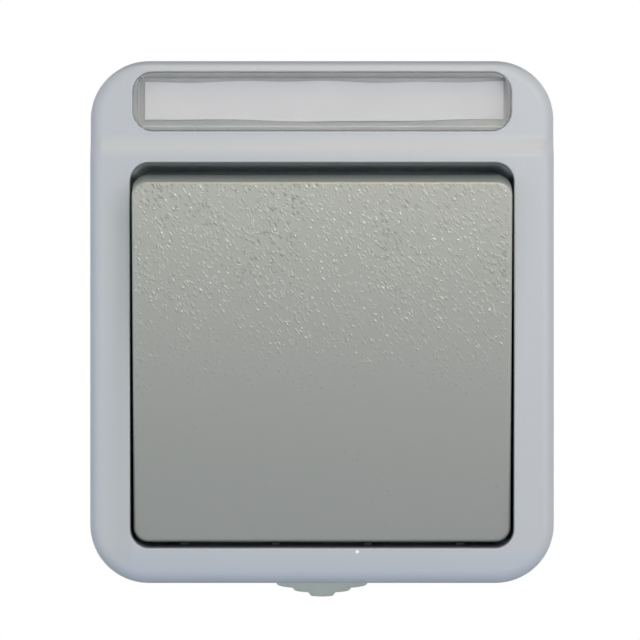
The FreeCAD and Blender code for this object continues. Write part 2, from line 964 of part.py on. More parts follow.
def make_foam_seal():
    inner_width = tub_opening_width + 2 * foam_seal_lip
    inner_height = tub_opening_height + 2 * foam_seal_lip
    outer = slab(
        inner_width + 2 * foam_seal_width,
        inner_height + 2 * foam_seal_width,
        tub_opening_corner + foam_seal_width,
        carrier_depth,
        tub_back_depth,
        z=window_centre_z,
    )
    inner = slab(
        inner_width,
        inner_height,
        tub_opening_corner + foam_seal_lip,
        carrier_depth - overlap,
        tub_back_depth + overlap,
        z=window_centre_z,
    )
    return whole(outer.cut(inner))


def bearing_ear(side):
    """An upright ear on the base with the bearing hole for one trunnion."""
    x0, x1 = sorted((side * (ear_outside_x - ear_thickness), side * ear_outside_x))
    leg = block(
        x0,
        x1,
        base_depth - overlap,
        pivot_depth,
        window_centre_z - ear_radius,
        window_centre_z + ear_radius,
    )
    ear = leg.fuse(rod(ear_radius, x0, x1, pivot_depth, window_centre_z))
    hole = rod(
        trunnion_radius + trunnion_play, x0 - overlap, x1 + overlap, pivot_depth, window_centre_z
    )
    return ear.cut(hole)


def make_mechanism_base():
    body = slab(
        base_width, base_height, base_corner, base_back_depth, base_depth, z=window_centre_z
    )
    half_slot = seesaw_slot_width / 2
    cuts = [
        block(
            -half_slot,
            half_slot,
            cavity_floor_depth,
            base_depth + overlap,
            window_centre_z - seesaw_slot_height / 2,
            window_centre_z + seesaw_slot_height / 2,
        )
    ]
    pocket = block_size / 2 + block_play
    channel = strip_width / 2 + strip_play
    for x, rise in terminal_places:
        z = window_centre_z + rise
        side = 1 if x > 0 else -1
        ends = sorted((0.0, x))
        outside = sorted((x, side * (base_width / 2 + overlap)))
        cuts.append(
            block(
                x - pocket, x + pocket, cavity_floor_depth, base_depth + overlap, z - pocket, z + pocket
            )
        )
        cuts.append(
            block(
                ends[0], ends[1], cavity_floor_depth, base_depth + overlap, z - channel, z + channel
            )
        )
        cuts.append(rod(wire_hole_radius, outside[0], outside[1], wire_hole_depth, z))
    cuts.append(common_strip(strip_play, base_depth + overlap))
    for x, z in rivet_places:
        cuts.append(rivet_shape(x, z, screw_play))
    for cut in cuts:
        body = body.cut(cut)
    return whole(body.multiFuse([bearing_ear(side) for side in (1, -1)]))


def contact_strip(x, rise):
    """A flat strip on the base's floor, from under the seesaw to a terminal block."""
    half = strip_width / 2
    side = 1 if x > 0 else -1
    ends = sorted((-side * half, x + side * block_size / 2))
    z = window_centre_z + rise
    return block(ends[0], ends[1], cavity_floor_depth, strip_depth, z - half, z + half)


def make_line_terminals():
    """The two strips that the seesaw connects in turn, upper first."""
    return [contact_strip(x, rise) for x, rise in terminal_places[:2]]


def common_strip(play, front):
    """The bent plan of the common strip, from its block's foot round to under the seesaw."""
    x, rise = terminal_places[2]
    reach = block_size / 2 + play
    run = common_run_width / 2 + play
    tongue = strip_width / 2 + play
    corners = (
        (x - reach, rise - reach),
        (x + reach, rise - reach),
        (x + reach, -common_run_rise - run),
        (tongue, -common_run_rise - run),
        (tongue, tongue),
        (-tongue, tongue),
        (-tongue, -common_run_rise + run),
        (x - reach, -common_run_rise + run),
    )
    points = [Vector(px, -cavity_floor_depth, window_centre_z + pz) for px, pz in corners]
    face = Part.Face(Part.makePolygon(points + points[:1]))
    return face.extrude(TOWARDS_ROOM * (front - cavity_floor_depth))


def make_common_terminal():
    """The strip that feeds the seesaw, with the round-topped fulcrum that it rocks on."""
    half = fulcrum_width / 2
    tab = block(
        -half,
        half,
        cavity_floor_depth,
        seesaw_pivot_depth,
        window_centre_z - fulcrum_radius,
        window_centre_z + fulcrum_radius,
    )
    edge = rod(fulcrum_radius, -half, half, seesaw_pivot_depth, window_centre_z)
    return whole(common_strip(0.0, strip_depth).multiFuse([tab, edge]))


def make_terminal_blocks():
    blocks = []
    for x, rise in terminal_places:
        z = window_centre_z + rise
        half = block_size / 2
        body = block(x - half, x + half, strip_depth, strip_depth + block_height, z - half, z + half)
        wire = rod(wire_hole_radius, x - half - overlap, x + half + overlap, wire_hole_depth, z)
        thread = post(
            terminal_screw_radius + screw_play,
            wire_hole_depth,
            strip_depth + block_height + overlap,
            x,
            z,
        )
        blocks.append(whole(body.cut(wire).cut(thread)))
    return blocks


def make_terminal_screws():
    seat = strip_depth + block_height
    length = seat - wire_hole_depth - wire_hole_radius / 2
    return [
        screw(
            terminal_screw_radius,
            length,
            terminal_head_radius,
            terminal_head_height,
            seat,
            x,
            window_centre_z + rise,
        )
        for x, rise in terminal_places
    ]


def write(name, shapes):
    """Writes one node, from a solid or a list of separate solids."""
    solids = shapes if isinstance(shapes, list) else [shapes]
    shape = solids[0] if len(solids) == 1 else Part.makeCompound(solids)
    if not shape.isValid():
        print("not valid:", name)
    shape.exportStep(os.path.join("parts", name + ".step"))
    print(name, len(shape.Solids), round(shape.Volume, 1))


def main():
    os.makedirs("parts", exist_ok=True)
    upper_terminal, lower_terminal = make_line_terminals()
    write("cover_frame", make_cover_frame())
    write("label_window", make_label_window())
    write("label_strip", make_label_strip())
    write("rear_box", make_rear_box())
    write("box_seal", make_box_seal())
    write("cable_grommet", make_cable_grommet())
    write("cover_screws", make_cover_screws())
    write("carrier_screws", make_carrier_screws())
    write("rocker_plate", make_rocker_plate())
    write("rocker_cradle", make_rocker_cradle())
    write("toggle_plunger", make_toggle_plunger())
    write("plunger_spring", make_plunger_spring())
    write("contact_seesaw", make_contact_seesaw())
    write("moving_contact_tips", make_moving_tips())
    write("fixed_contact_tips", make_fixed_tips())
    write("carrier_plate", make_carrier_plate())
    write("carrier_rivets", make_carrier_rivets())
    write("mechanism_seal", make_foam_seal())
    write("mechanism_base", make_mechanism_base())
    write("upper_terminal", upper_terminal)
    write("lower_terminal", lower_terminal)
    write("common_terminal", make_common_terminal())
    write("terminal_blocks", make_terminal_blocks())
    write("terminal_screws", make_terminal_screws())


main()
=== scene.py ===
import math

import bmesh
import bpy
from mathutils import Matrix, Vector


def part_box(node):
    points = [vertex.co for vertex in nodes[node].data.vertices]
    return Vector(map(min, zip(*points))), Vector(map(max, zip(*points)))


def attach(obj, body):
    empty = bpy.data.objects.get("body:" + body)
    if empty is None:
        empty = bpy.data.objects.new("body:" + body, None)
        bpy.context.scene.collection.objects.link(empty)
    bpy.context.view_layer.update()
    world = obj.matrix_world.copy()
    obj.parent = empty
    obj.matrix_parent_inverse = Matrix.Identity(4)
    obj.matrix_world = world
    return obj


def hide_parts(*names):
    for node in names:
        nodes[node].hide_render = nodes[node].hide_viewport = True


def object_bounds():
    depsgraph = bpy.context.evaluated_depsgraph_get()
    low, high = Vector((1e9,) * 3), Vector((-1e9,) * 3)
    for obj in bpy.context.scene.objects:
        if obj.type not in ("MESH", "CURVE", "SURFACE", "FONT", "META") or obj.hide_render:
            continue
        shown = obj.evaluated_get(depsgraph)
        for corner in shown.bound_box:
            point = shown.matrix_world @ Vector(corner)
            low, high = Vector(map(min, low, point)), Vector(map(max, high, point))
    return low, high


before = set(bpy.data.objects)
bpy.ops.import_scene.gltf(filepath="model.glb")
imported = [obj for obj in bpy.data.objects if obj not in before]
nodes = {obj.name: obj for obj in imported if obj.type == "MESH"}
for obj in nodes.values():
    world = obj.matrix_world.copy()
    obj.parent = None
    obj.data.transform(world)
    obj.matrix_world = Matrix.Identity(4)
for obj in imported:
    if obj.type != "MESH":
        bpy.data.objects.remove(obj)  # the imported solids, each in its place, in metres
cad_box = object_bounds()
bpy.ops.object.select_all(action="DESELECT")


# Rear box
# The deep wall box that carries everything, moulded in one piece from blue-grey plastic. It is
# screwed to the wall through two slots in its back, and its rim stands inside the cover.
def place(tree, kind, settings=None, **inputs):
    """Adds a node, sets its options, and sets or links its inputs by name or number."""
    node = tree.nodes.new(kind)
    for option, value in (settings or {}).items():
        setattr(node, option, value)
    for name, value in inputs.items():
        key = int(name[2:]) if name[:2] == "in" and name[2:].isdigit() else name.replace("_", " ")
        if isinstance(value, bpy.types.NodeSocket):
            tree.links.new(value, node.inputs[key])
        else:
            node.inputs[key].default_value = value
    return node


def new_group(name, inputs, outputs):
    """An empty shader node group with named sockets, and its entry and exit sockets."""
    group = bpy.data.node_groups.new(name, "ShaderNodeTree")
    for label, kind in inputs:
        group.interface.new_socket(label, in_out="INPUT", socket_type="NodeSocket" + kind)
    for label, kind in outputs:
        group.interface.new_socket(label, in_out="OUTPUT", socket_type="NodeSocket" + kind)
    return group, group.nodes.new("NodeGroupInput").outputs, group.nodes.new("NodeGroupOutput").inputs


def new_material(name):
    """A material with an empty tree, its Object coordinates and its surface socket."""
    material = bpy.data.materials.new(name)
    material.use_nodes = True
    tree = material.node_tree
    tree.nodes.clear()
    coordinates = place(tree, "ShaderNodeTexCoord").outputs["Object"]
    return material, tree, coordinates, place(tree, "ShaderNodeOutputMaterial").inputs["Surface"]


def scaled(tree, value, factor, offset):
    """A value times a factor, plus an offset."""
    return place(
        tree, "ShaderNodeMath", {"operation": "MULTIPLY_ADD"}, in0=value, in1=factor, in2=offset
    ).outputs[0]


def bumped_surface(tree, height, depth, **finish):
    """A surface of one finish, with its relief as bump of a depth."""
    bump = place(tree, "ShaderNodeBump", Strength=1.0, Distance=depth, Height=height)
    return place(
        tree, "ShaderNodeBsdfPrincipled", Normal=bump.outputs["Normal"], **finish
    ).outputs["BSDF"]


def moulded_skin():
    """Group for moulded surfaces: drifting tone, mould grain and uneven gloss."""
    group, given, result = new_group(
        "moulded_skin",
        [("Vector", "Vector"), ("Colour", "Color"), ("Drift", "Float"), ("Grain Scale", "Float"),
         ("Gloss", "Float"), ("Gloss Spread", "Float")],
        [("Colour", "Color"), ("Roughness", "Float"), ("Height", "Float")],
    )
    drift = place(group, "ShaderNodeTexNoise", Vector=given["Vector"], Scale=70.0, Detail=3.0)
    grain = place(
        group, "ShaderNodeTexNoise", Vector=given["Vector"], Scale=given["Grain Scale"], Detail=4.0,
        Roughness=0.6,
    ).outputs["Fac"]
    lift = scaled(group, drift.outputs["Fac"], given["Drift"], 1.0)
    tone = place(group, "ShaderNodeHueSaturation", Value=lift, Color=given["Colour"])
    group.links.new(tone.outputs["Color"], result["Colour"])
    group.links.new(scaled(group, grain, given["Gloss Spread"], given["Gloss"]), result["Roughness"])
    group.links.new(grain, result["Height"])
    return group


moulded = moulded_skin()


def moulded_material(name, colour, gloss, grain_scale, grain_depth, drift=0.06, spread=0.12):
    """A moulded surface of one colour, with its grain as bump."""
    material, tree, coordinates, surface = new_material(name)
    skin = place(
        tree, "ShaderNodeGroup", {"node_tree": moulded}, Vector=coordinates, Colour=(*colour, 1.0),
        Drift=drift, Grain_Scale=grain_scale, Gloss=gloss, Gloss_Spread=spread,
    ).outputs
    tree.links.new(
        bumped_surface(
            tree, skin["Height"], grain_depth, Base_Color=skin["Colour"], Roughness=skin["Roughness"]
        ),
        surface,
    )
    return material


def dress(node, material):
    """Gives a solid its finish."""
    for slot in nodes[node].material_slots:
        slot.material = material


box_plastic = moulded_material("box_plastic", (0.41, 0.45, 0.50), 0.38, 2600.0, 0.00002)
dress("rear_box", box_plastic)


# Cable grommet
# A soft rubber nipple with stepped cones, pulled into the hole in the box's floor. It is cut open
# at the step that fits the cable, and here it is still closed.
grommet_rubber = moulded_material("grommet_rubber", (0.53, 0.60, 0.575), 0.55, 1500.0, 0.00003, 0.10)
dress("cable_grommet", grommet_rubber)


# Seals
# A black rubber ring on the box's rim and a dark foam frame behind the tub keep water out. Both
# are die-cut and only squeezed in place.
seal_rubber = moulded_material("seal_rubber", (0.022, 0.022, 0.024), 0.60, 1800.0, 0.00003, 0.3)
seal_foam = moulded_material("seal_foam", (0.045, 0.045, 0.048), 0.85, 1200.0, 0.00012, 0.4)
dress("box_seal", seal_rubber)
dress("mechanism_seal", seal_foam)


# Mechanism base and the cradle's pieces
# The base is a white thermoset moulding with chambers for the terminals. The cradle and its
# plunger are smoother, in a bearing-grade plastic that runs dry.
base_plastic = moulded_material("base_plastic", (0.70, 0.69, 0.65), 0.50, 1600.0, 0.00003)
cradle_plastic = moulded_material("cradle_plastic", (0.66, 0.67, 0.66), 0.32, 2400.0, 0.00001)
dress("mechanism_base", base_plastic)
dress("rocker_cradle", cradle_plastic)
dress("toggle_plunger", cradle_plastic)


# Metal pieces
# The carrier is pressed from zinc-plated sheet, the terminals from brass strip and bar, and the
# contact tips are silver buttons riveted on. Screws are plated steel, the spring drawn wire.
DRAWING_MARKS = 0.000006
STAIN_START, STAIN_FULL = 0.48, 0.72  # values of the clouds between which the metal is stained


def ramp(tree, value, start, end, low=0.0, high=1.0, smooth=False):
    """A value that goes from low to high as the given one goes from start to end."""
    shape = {"interpolation_type": "SMOOTHSTEP"} if smooth else None
    return place(
        tree, "ShaderNodeMapRange", shape, Value=value, From_Min=start, From_Max=end, To_Min=low,
        To_Max=high,
    ).outputs["Result"]


def blend(tree, factor, first, second):
    """A colour that goes from the first to the second as the factor goes from 0 to 1."""
    return place(
        tree, "ShaderNodeMix", {"data_type": "RGBA"}, Factor=factor, in6=first, in7=second
    ).outputs[2]


def metal_skin():
    """Group for sheet and turned metal: drawn streaks, stains and uneven polish."""
    group, given, result = new_group(
        "metal_skin",
        [("Vector", "Vector"), ("Colour", "Color"), ("Stain", "Color"), ("Gloss", "Float")],
        [("Colour", "Color"), ("Roughness", "Float"), ("Height", "Float")],
    )
    drawn = place(group, "ShaderNodeMapping", Vector=given["Vector"], Scale=(1.0, 1.0, 0.06))
    streaks = place(
        group, "ShaderNodeTexNoise", Vector=drawn.outputs["Vector"], Scale=4200.0, Detail=3.0
    ).outputs["Fac"]
    clouds = place(group, "ShaderNodeTexNoise", Vector=given["Vector"], Scale=260.0, Detail=4.0)
    stained = ramp(group, clouds.outputs["Fac"], STAIN_START, STAIN_FULL)
    group.links.new(blend(group, stained, given["Colour"], given["Stain"]), result["Colour"])
    group.links.new(scaled(group, streaks, 0.25, given["Gloss"]), result["Roughness"])
    group.links.new(streaks, result["Height"])
    return group


metal = metal_skin()


def metal_material(name, colour, stain, gloss):
    """A bare or plated metal, with its drawing marks as bump."""
    material, tree, coordinates, surface = new_material(name)
    skin = place(
        tree, "ShaderNodeGroup", {"node_tree": metal}, Vector=coordinates, Colour=(*colour, 1.0),
        Stain=(*stain, 1.0), Gloss=gloss,
    ).outputs
    tree.links.new(
        bumped_surface(
            tree, skin["Height"], DRAWING_MARKS, Base_Color=skin["Colour"], Metallic=1.0,
            Roughness=skin["Roughness"],
        ),
        surface,
    )
    return material


zinc_plate = metal_material("zinc_plate", (0.62, 0.63, 0.62), (0.52, 0.52, 0.47), 0.28)
spring_wire = metal_material("spring_wire", (0.44, 0.44, 0.46), (0.33, 0.33, 0.34), 0.25)
bare_brass = metal_material("bare_brass", (0.78, 0.58, 0.27), (0.60, 0.42, 0.19), 0.22)
contact_silver = metal_material("contact_silver", (0.86, 0.85, 0.82), (0.70, 0.68, 0.63), 0.20)
for name in ("carrier_plate", "carrier_rivets", "carrier_screws", "cover_screws", "terminal_screws"):
    dress(name, zinc_plate)
for name in ("upper_terminal", "lower_terminal", "common_terminal", "terminal_blocks", "contact_seesaw"):
    dress(name, bare_brass)
for name in ("moving_contact_tips", "fixed_contact_tips"):
    dress(name, contact_silver)
dress("plunger_spring", spring_wire)


# Cover frame
# The one-piece cover in light blue-grey plastic, with a satin skin from a lightly blasted mould.
# It hoods the box's rim and is held by two screws in the tub behind the rocker.
COVER_SKIN = (0.446, 0.475, 0.520, 1.0)
# Painted shade and painted light on the cover: the bottom border, the left border by the rocker, the
# pocket's floor, the tub's walls and floor, and faces turned up.
LOWER_PAINTED_SHADE = (0.37, 0.43, 0.53, 1.0)
LEFT_PAINTED_SHADE = (0.384, 0.420, 0.440, 1.0)
POCKET_PAINTED_SHADE = (0.26, 0.28, 0.29, 1.0)
TUB_WALL_PAINTED_SHADE = (0.08, 0.10, 0.10, 1.0)
TUB_UPPER_WALL_PAINTED_LIGHT = (0.90, 1.0, 0.98, 1.0)
TUB_FLOOR_PAINTED_SHADE = (0.20, 0.235, 0.235, 1.0)
UPWARD_PAINTED_SHADE = (0.25, 0.29, 0.35, 1.0)
LINT_WHITE = (0.90, 0.92, 0.91, 1.0)
BLASTED_DEPTH = 0.000012
LOWER_BORDER = 0.0066  # height of the border along the bottom that is painted darker and bluer, as painted shade
LEFT_SHADE_NEAR, LEFT_SHADE_FAR = 0.0018, 0.0046  # from the rocker's outline to the painted shade's full tone and its end
LEFT_SHADE_EDGE = 0.0004  # width over which the painted shade fades out at the rocker's left side
LEFT_SHADE_LOW, LEFT_SHADE_HIGH = -0.028, 0.004  # heights between which the painted shade grows to its full tone
LEFT_SHADE_LEAST = 0.4  # share of the painted shade at the lower height
LEFT_SHADE_FULL, LEFT_SHADE_TOP = 0.0070, 0.0020  # below the rocker's top, where the painted shade is full and where it ends
POCKET_INSET = 0.0007  # from the cap's outline to the painted shade on the pocket's floor
SCREW_HEAD = 0.0020  # from a cover screw's front to the tub's floor
WALL_START, WALL_REACH = 0.0018, 0.0032  # the tub's walls: below the front, and outside the rocker
FLOOR_REACH = 0.0018  # the tub's floor, outside the rocker
UPPER_WALL_LOW, UPPER_WALL_HIGH = 0.0008, 0.0002  # the painted light starts below the rocker's top, full above
UPWARD_SHADE_START, UPWARD_SHADE_FULL = 0.56, 0.90  # how far a face is turned up where the painted shade starts and is full
UPWARD_SHADE_SHARE = 0.90
FLOOR_FADE, FLOOR_FULL = 0.0006, 0.0003  # before a hollow's floor, where its tone starts and is full
MASK_EDGE = 0.0001  # half the width of a mask's soft edge
LINT_PLACE = (0.00555, -0.0500, -0.03622)
LINT_CORE, LINT_RADIUS = 0.00014, 0.00036


def outline_reach():
    """Group that tells how far a point lies outside a rectangle on the front, in metres."""
    group, given, result = new_group(
        "outline_reach", [("Vector", "Vector"), ("Centre", "Vector"), ("Half", "Vector")],
        [("Distance", "Float")],
    )
    offset = place(
        group, "ShaderNodeVectorMath", {"operation": "SUBTRACT"}, in0=given["Vector"],
        in1=given["Centre"],
    )
    spread = place(group, "ShaderNodeVectorMath", {"operation": "ABSOLUTE"}, in0=offset.outputs[0])
    beyond = place(
        group, "ShaderNodeVectorMath", {"operation": "SUBTRACT"}, in0=spread.outputs[0],
        in1=given["Half"],
    )
    sides = place(group, "ShaderNodeSeparateXYZ", Vector=beyond.outputs[0])
    outer = place(
        group, "ShaderNodeMath", {"operation": "MAXIMUM"}, in0=sides.outputs["X"],
        in1=sides.outputs["Z"],
    )
    group.links.new(outer.outputs[0], result["Distance"])
    return group


reach = outline_reach()


def outside_of(tree, coordinates, node):
    """How far a point lies outside a solid's outline, seen from the front."""
    low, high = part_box(node)
    group = place(
        tree, "ShaderNodeGroup", {"node_tree": reach}, Vector=coordinates, Centre=(low + high) / 2,
        Half=(high - low) / 2,
    )
    return group.outputs["Distance"]


def product(tree, first, second):
    """Two values or masks multiplied."""
    return place(
        tree, "ShaderNodeMath", {"operation": "MULTIPLY"}, in0=first, in1=second
    ).outputs[0]


def hollow_mask(tree, coordinates, node, floor, margin):
    """Marks the bottom of a hollow below a depth, within a margin round the solid that fills it."""
    axes = place(tree, "ShaderNodeSeparateXYZ", Vector=coordinates)
    deep = ramp(tree, axes.outputs["Y"], floor - FLOOR_FADE, floor - FLOOR_FULL)
    inside = ramp(
        tree, outside_of(tree, coordinates, node), margin - MASK_EDGE, margin + MASK_EDGE, 1.0, 0.0
    )
    return product(tree, deep, inside)


def left_shade_mask(tree, coordinates):
    """Marks the painted shade on the border at the rocker's left, less towards the bottom."""
    rocker_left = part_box("rocker_plate")[0].x
    rocker_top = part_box("rocker_plate")[1].z
    axes = place(tree, "ShaderNodeSeparateXYZ", Vector=coordinates).outputs
    mask = ramp(tree, outside_of(tree, coordinates, "rocker_plate"), LEFT_SHADE_NEAR, LEFT_SHADE_FAR, 1.0, 0.0)
    mask = product(tree, mask, ramp(tree, axes["X"], rocker_left - LEFT_SHADE_EDGE, rocker_left, 1.0, 0.0))
    mask = product(tree, mask, ramp(tree, axes["Z"], LEFT_SHADE_LOW, LEFT_SHADE_HIGH, LEFT_SHADE_LEAST, 1.0))
    return product(
        tree, mask, ramp(tree, axes["Z"], rocker_top - LEFT_SHADE_FULL, rocker_top - LEFT_SHADE_TOP, 1.0, 0.0)
    )


def cover_material():
    """Satin plastic with painted shade on the bottom border, by the rocker, on faces turned up and in
    the pocket, painted shade and light in the tub, and a fleck of lint.
    """
    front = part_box("cover_frame")[0].y
    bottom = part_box("cover_frame")[0].z
    pocket_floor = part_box("label_window")[1].y
    tub_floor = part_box("cover_screws")[0].y + SCREW_HEAD
    rocker_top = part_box("rocker_plate")[1].z
    material, tree, coordinates, surface = new_material("cover_plastic")
    skin = place(
        tree, "ShaderNodeGroup", {"node_tree": moulded}, Vector=coordinates, Colour=COVER_SKIN,
        Drift=0.05, Grain_Scale=2200.0, Gloss=0.34, Gloss_Spread=0.10,
    ).outputs
    height = place(tree, "ShaderNodeSeparateXYZ", Vector=coordinates).outputs["Z"]
    # Painted shade: the border turns darker and bluer towards the bottom edge.
    low = ramp(tree, height, bottom, bottom + LOWER_BORDER, 1.0, 0.0)
    colour = blend(tree, low, skin["Colour"], LOWER_PAINTED_SHADE)
    # Painted shade on the left border beside the rocker, standing in for the rocker's shadow.
    colour = blend(tree, left_shade_mask(tree, coordinates), colour, LEFT_PAINTED_SHADE)
    # Painted shade on the recessed floor of the label pocket, under the cap.
    pocket = hollow_mask(tree, coordinates, "label_window", pocket_floor, -POCKET_INSET)
    colour = blend(tree, pocket, colour, POCKET_PAINTED_SHADE)
    # Painted light on the tub's upper wall and painted shade on its other walls, deep in the gap round
    # the rocker.
    above = ramp(tree, height, rocker_top - UPPER_WALL_LOW, rocker_top + UPPER_WALL_HIGH)
    walls = hollow_mask(tree, coordinates, "rocker_plate", front + WALL_START, WALL_REACH)
    colour = blend(tree, walls, colour, blend(tree, above, TUB_WALL_PAINTED_SHADE, TUB_UPPER_WALL_PAINTED_LIGHT))
    # Painted shade on the tub's floor round the rocker.
    floor_mask = hollow_mask(tree, coordinates, "rocker_plate", tub_floor, FLOOR_REACH)
    colour = blend(tree, floor_mask, colour, TUB_FLOOR_PAINTED_SHADE)
    # Painted shade: faces turned up are darker and bluer.
    normal = place(tree, "ShaderNodeNewGeometry").outputs["Normal"]
    upward = place(tree, "ShaderNodeSeparateXYZ", Vector=normal).outputs["Z"]
    shaded_up = ramp(tree, upward, UPWARD_SHADE_START, UPWARD_SHADE_FULL, 0.0, UPWARD_SHADE_SHARE)
    colour = blend(tree, shaded_up, colour, UPWARD_PAINTED_SHADE)
    away = place(
        tree, "ShaderNodeVectorMath", {"operation": "DISTANCE"}, in0=coordinates, in1=LINT_PLACE
    ).outputs["Value"]
    colour = blend(tree, ramp(tree, away, LINT_CORE, LINT_RADIUS, 1.0, 0.0), colour, LINT_WHITE)
    tree.links.new(
        bumped_surface(
            tree, skin["Height"], BLASTED_DEPTH, Base_Color=colour, Roughness=skin["Roughness"]
        ),
        surface,
    )
    return material


dress("cover_frame", cover_material())


# Rocker
# The large rocker is moulded in a darker green-grey plastic. Its face has a hammered grain, crisp
# at the top and polished down below by fingers, and painted light makes it lighter towards the top.
# Its edges are smooth, and painted shade lies on the upper ones.
FACE_LOWER_TONE = (0.228, 0.244, 0.240, 1.0)
# The face is painted lighter towards the top as painted light, and the upper bevel darker as painted
# shade.
FACE_PAINTED_LIGHT = (0.362, 0.378, 0.346, 1.0)
BEVEL_PAINTED_SHADE = (0.055, 0.080, 0.083, 1.0)
FACE_NORMAL = (0.0, -1.0, 0.0)
FACE_EDGE, FACE_SQUARE = 0.975, 0.992  # how square a face stands where the grain starts and is full
WORN_LOW, WORN_HIGH = -0.014, 0.018  # heights between which the grain grows from worn to crisp
WORN_SHARE = 0.055  # share of the grain's height that is left where it is worn
FACE_LIGHT_LOW, FACE_LIGHT_HIGH = -0.034, 0.022  # heights between which the face is painted lighter upwards, as painted light
FACE_LIGHT_CURVE = 1.75
GRAINS_PER_METRE = 2000.0
GRAIN_LENGTH = 2.0  # in widths
GRAIN_SLANT = -0.62  # radians
GRAIN_DEPTH = 0.00020
DOME_RADIUS = 0.62  # of a grain's cell
STIR_REACH = 0.0007  # how far the grains are pushed out of line
GLOSS_BETWEEN, GLOSS_ON_GRAINS = 0.28, 0.16
BEVEL_DEPTH = 0.0024
BEVEL_SHADE_START, BEVEL_SHADE_FULL = 0.10, 0.70  # how far a face is turned up where the painted shade starts and is full
CREST_SHADE = 0.46  # share of the painted shade at the crest


def grain_relief(tree, coordinates):
    """Slanted, uneven domes that touch here and there, from 0 to 1."""
    stir = place(tree, "ShaderNodeTexNoise", Vector=coordinates, Scale=1500.0, Detail=1.0)
    stirred = place(
        tree, "ShaderNodeVectorMath", {"operation": "MULTIPLY_ADD"}, in0=stir.outputs["Color"],
        in1=(STIR_REACH, STIR_REACH, STIR_REACH), in2=coordinates,
    )
    slanted = place(
        tree, "ShaderNodeMapping", {"vector_type": "TEXTURE"}, Vector=stirred.outputs[0],
        Rotation=(0.0, GRAIN_SLANT, 0.0), Scale=(1.0, 1.0, GRAIN_LENGTH),
    )
    cells = place(
        tree, "ShaderNodeTexVoronoi", {"feature": "F1"}, Vector=slanted.outputs["Vector"],
        Scale=GRAINS_PER_METRE, Randomness=1.0,
    )
    domes = ramp(tree, cells.outputs["Distance"], 0.0, DOME_RADIUS, 1.0, 0.0, smooth=True)
    lot = place(tree, "ShaderNodeSeparateColor", Color=cells.outputs["Color"])
    return product(tree, domes, ramp(tree, lot.outputs["Red"], 0.0, 0.75))


def rocker_material():
    """Green-grey plastic with painted light on the upper face and painted shade on the upper bevel, and
    a hammered face whose grains catch the lamps.
    """
    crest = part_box("rocker_plate")[0].y
    material, tree, coordinates, surface = new_material("rocker_plastic")
    axes = place(tree, "ShaderNodeSeparateXYZ", Vector=coordinates).outputs
    geometry = place(tree, "ShaderNodeNewGeometry").outputs
    facing = place(
        tree, "ShaderNodeVectorMath", {"operation": "DOT_PRODUCT"}, in0=geometry["True Normal"],
        in1=FACE_NORMAL,
    ).outputs["Value"]
    crisp = ramp(tree, axes["Z"], WORN_LOW, WORN_HIGH, WORN_SHARE, 1.0, smooth=True)
    swells = place(tree, "ShaderNodeTexNoise", Vector=coordinates, Scale=160.0, Detail=2.0)
    patchy = product(tree, crisp, ramp(tree, swells.outputs["Fac"], 0.35, 0.65, 0.45, 1.15))
    on_face = product(tree, patchy, ramp(tree, facing, FACE_EDGE, FACE_SQUARE))
    height = product(tree, grain_relief(tree, coordinates), on_face)
    # Painted light: the face turns lighter towards the top.
    face_light = place(
        tree, "ShaderNodeMath", {"operation": "POWER"}, in1=FACE_LIGHT_CURVE,
        in0=ramp(tree, axes["Z"], FACE_LIGHT_LOW, FACE_LIGHT_HIGH),
    ).outputs[0]
    face_colour = blend(tree, scaled(tree, height, 0.15, face_light), FACE_LOWER_TONE, FACE_PAINTED_LIGHT)
    # Painted shade on the rocker's faces turned up, fullest on the bevel set back from the crest.
    upward = place(tree, "ShaderNodeSeparateXYZ", Vector=geometry["Normal"]).outputs["Z"]
    set_back = ramp(tree, axes["Y"], crest, crest + BEVEL_DEPTH, CREST_SHADE, 1.0)
    bevel_shade = product(tree, ramp(tree, upward, BEVEL_SHADE_START, BEVEL_SHADE_FULL), set_back)
    gloss = ramp(tree, height, 0.0, 1.0, GLOSS_BETWEEN, GLOSS_ON_GRAINS)
    tree.links.new(
        bumped_surface(
            tree, height, GRAIN_DEPTH, Base_Color=blend(tree, bevel_shade, face_colour, BEVEL_PAINTED_SHADE),
            Roughness=gloss, Specular_IOR_Level=0.95,
        ),
        surface,
    )
    return material


dress("rocker_plate", rocker_material())


# Label strip
# A strip of plain paper, cut by hand with scissors, so its long edges wander a little. It lies
# loose and slightly bowed on the floor of the label pocket, under the clear cap.
PAPER_SHADE = (0.490, 0.493, 0.520, 1.0)
PAPER_WHITE = (0.530, 0.533, 0.562, 1.0)
PAPER_THICKNESS = 0.00012
PAPER_BOW = 0.00020
PAPER_MARGIN = 0.00022  # how far a cut edge wanders, to each side
FIBRE_DEPTH = 0.00001
SHARP_ANGLE = 0.8  # radians
strip_low, strip_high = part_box("label_strip")
paper_width = strip_high.x - strip_low.x
paper_height = strip_high.z - strip_low.z - 2 * PAPER_MARGIN
paper_middle = (strip_low + strip_high) / 2
bpy.ops.mesh.primitive_grid_add(
    x_subdivisions=72, y_subdivisions=8, size=1.0, rotation=(math.pi / 2, 0.0, 0.0)
)
paper_sheet = bpy.context.object
paper_sheet.name = "paper_sheet"
paper_sheet.scale = (paper_width, paper_height, 1.0)
bpy.ops.object.transform_apply(location=True, rotation=True, scale=True)
bpy.ops.object.mode_set(mode="EDIT")
sheet = bmesh.from_edit_mesh(paper_sheet.data)
